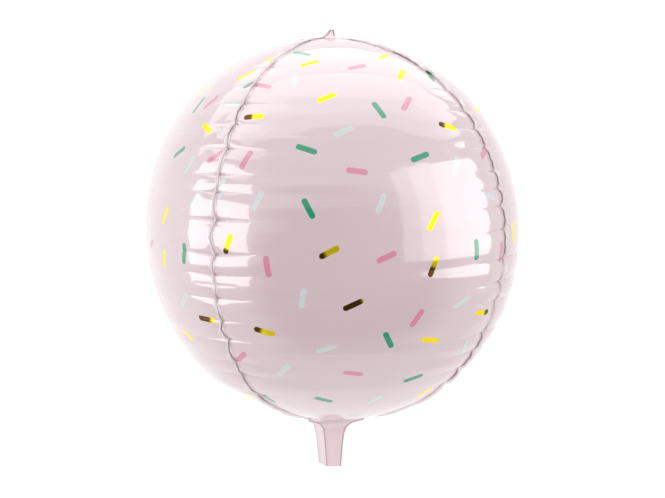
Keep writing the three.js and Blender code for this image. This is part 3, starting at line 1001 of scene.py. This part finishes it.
def add_light(name, place, target, width, height, brightness, reach):
    """A rectangular light that faces its target, seen by diffuse or by glossy light only. Its
    power makes a surface of the given brightness, pi times its area times the brightness"""
    light = bpy.data.lights.new(name, "AREA")
    light.shape = "RECTANGLE"
    light.size, light.size_y = width, height
    light.energy = pi * width * height * brightness
    box = add_object(name, light)
    box.location = place
    box.rotation_euler = (Vector(target) - Vector(place)).to_track_quat("-Z", "Y").to_euler()
    box.visible_camera = False
    box.visible_glossy = reach == "glossy"
    box.visible_diffuse = reach == "diffuse"


def add_spot(name, place, target, radius, power):
    """A narrow soft-edged spot that lights a round patch of a given radius at its target"""
    light = bpy.data.lights.new(name, "SPOT")
    sight = Vector(target) - Vector(place)
    light.energy = power
    light.spot_size = 2 * atan2(radius, sight.length)
    light.spot_blend = 0.7
    light.shadow_soft_size = 0.05
    spot = add_object(name, light)
    spot.location = place
    spot.rotation_euler = sight.to_track_quat("-Z", "Y").to_euler()
    spot.visible_camera = spot.visible_glossy = False


def add_soft_box(name, side, across, up, width, height, brightness):
    """An upright soft box in a plane a metre from the ball's axis, which faces it from an angle
    in degrees from +Z towards +X; its middle is moved across and up in that plane"""
    x, z = outward(radians(side))
    place = (x + across * z, up, AXIS_HEIGHT + z - across * x)
    target = (place[0] - x, up, place[2] - z)
    add_light(name, place, target, height, width, brightness, "glossy")


def room_world(stage):
    """A white room with a round dark ceiling: the brightness goes by the cosine of the angle from
    the dark ceiling's middle, as a smooth step"""
    bright_from, dark_within = radians(58), radians(30)
    world = bpy.data.worlds.new("room")
    world.use_nodes = True
    tree = world.node_tree
    tree.nodes.clear()
    where = node(tree, "ShaderNodeTexCoord").outputs["Generated"]
    middle = Vector(stage.dark_towards).normalized()
    nearness = node(tree, "ShaderNodeVectorMath", {0: where, 1: middle}, operation="DOT_PRODUCT")
    level = step_down(
        tree, nearness.outputs["Value"], cos(bright_from), cos(dark_within), stage.room,
        stage.dark_side)
    glow = node(tree, "ShaderNodeBackground", {"Color": (1, 1, 1, 1), "Strength": level})
    node(tree, "ShaderNodeOutputWorld", {"Surface": glow.outputs[0]})
    return world


def add_camera(stage):
    """The camera at its angle over the lying ball, with its sight line a little off the middle"""
    eye, right, up = (Vector(part) for part in view_axes(stage))
    middle = Vector((0, 0, AXIS_HEIGHT))
    aim = middle - up * stage.aim_drop + right * stage.aim_right
    eye += middle
    back = (eye - aim).normalized()
    right = (right - back * right.dot(back)).normalized()
    up = back.cross(right)
    turn = Matrix((right, up, back)).transposed()
    lens = bpy.data.cameras.new("camera")
    lens.lens = stage.lens
    camera = add_object("camera", lens)
    camera.matrix_world = Matrix.Translation(eye) @ turn.to_4x4()
    bpy.context.scene.camera = camera


class BALLOON_OT_stage(bpy.types.Operator):
    """Adds the floor, the lights and the camera"""

    bl_idname = "balloon.stage"
    bl_label = "Stage"

    def execute(self, context):
        stage = registered(BalloonStage)
        scene = context.scene
        add_floor(stage)
        add_camera(stage)
        for name, (*box, share) in SIDE_BOXES.items():
            add_soft_box(name, *box, share * stage.soft_box)
        for name, (*box, share) in HEAD_BOXES.items():
            add_light(name, *box, share * stage.soft_box, "glossy")
        over, wide, ball = (0, -0.5, 2.6), 3.0, (0, 0, AXIS_HEIGHT)
        add_light("fill", over, ball, wide, wide, stage.fill, "diffuse")
        lamp, neck, patch = (-0.15, -0.25, 1.15), (-0.003, -0.240, 0.19), 0.042
        add_spot("neck_spot", lamp, neck, patch, stage.neck_glow)
        scene.world = room_world(stage)
        scene.view_settings.view_transform = "Standard"
        return {"FINISHED"}


class BALLOON_PT_panel(bpy.types.Panel):
    """Lists the balloon's operators and settings"""

    bl_label = "Foil Ball Balloon"
    bl_space_type = "VIEW_3D"
    bl_region_type = "UI"
    bl_category = "Balloon"

    def draw(self, context):
        layout = self.layout
        for operator in OPERATORS:
            layout.operator(operator.bl_idname)
        for group in GROUPS:
            settings = registered(group)
            for name in group.__annotations__:
                layout.prop(settings, name)


GROUPS = (BalloonSizes, BalloonLooks, BalloonStage)
OPERATORS = (BALLOON_OT_panels, BALLOON_OT_stage)


def register():
    for cls in (*GROUPS, *OPERATORS, BALLOON_PT_panel):
        bpy.utils.register_class(cls)
    for group in GROUPS:
        setattr(bpy.types.Scene, group.__name__, PointerProperty(type=group))


def unregister():
    for group in reversed(GROUPS):
        delattr(bpy.types.Scene, group.__name__)
    for cls in reversed((*GROUPS, *OPERATORS, BALLOON_PT_panel)):
        bpy.utils.unregister_class(cls)


def main():
    """Builds the balloon on its stage"""
    register()
    bpy.ops.balloon.panels()
    bpy.ops.balloon.stage()


if __name__ == "__main__":
    main()
